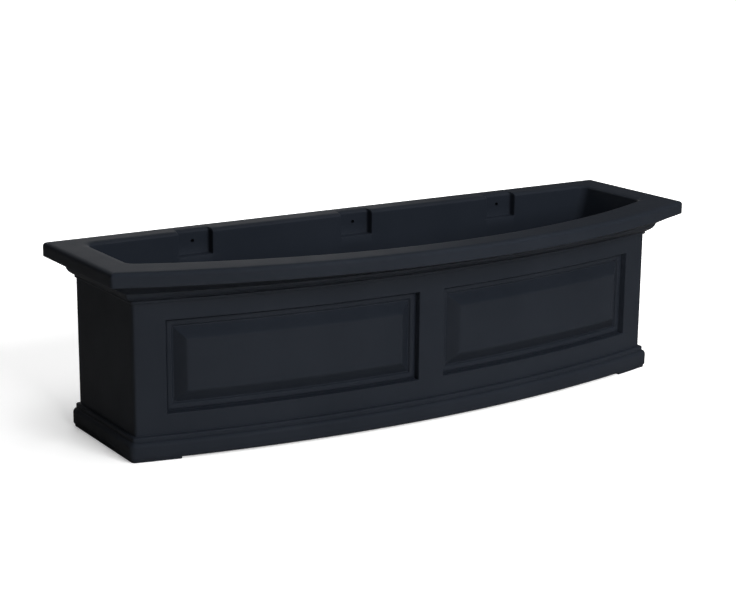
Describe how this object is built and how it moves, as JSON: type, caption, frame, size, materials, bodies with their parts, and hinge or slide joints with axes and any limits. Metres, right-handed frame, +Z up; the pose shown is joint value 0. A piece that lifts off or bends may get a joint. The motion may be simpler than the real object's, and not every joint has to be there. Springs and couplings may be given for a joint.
{
  "type": "window box planter",
  "caption": "Long bow-fronted window box planter with raised-panel front, cornice rim and plinth, double-walled over a water reservoir with pull-out drain plugs.",
  "frame": {"origin": "on the ground, in the middle of the box's bounding footprint", "axes": "+X along the box to the viewer's right, +Y out of the flat back towards the wall it hangs on, so the bowed front faces -Y, +Z up"},
  "size_m": [0.914, 0.3049, 0.254],
  "materials": {
    "shell_plastic": "satin moulded polyethylene, near black",
    "plug_plastic": "moulded, black",
    "seal_rubber": "matt black"
  },
  "bodies": {
    "planter": {"outer_shell": "shell_plastic", "inner_trough": "shell_plastic"},
    "left_plug": {"drain_plug_left": "plug_plastic", "plug_seal_left": "seal_rubber"},
    "right_plug": {"drain_plug_right": "plug_plastic", "plug_seal_right": "seal_rubber"}
  },
  "joints": [
    {"name": "left_plug_pull", "type": "slide", "parent": "planter", "child": "left_plug", "axis": [0, 0, -1], "range_m": [0, 0.03]},
    {"name": "right_plug_pull", "type": "slide", "parent": "planter", "child": "right_plug", "axis": [0, 0, -1], "range_m": [0, 0.03]}
  ]
}
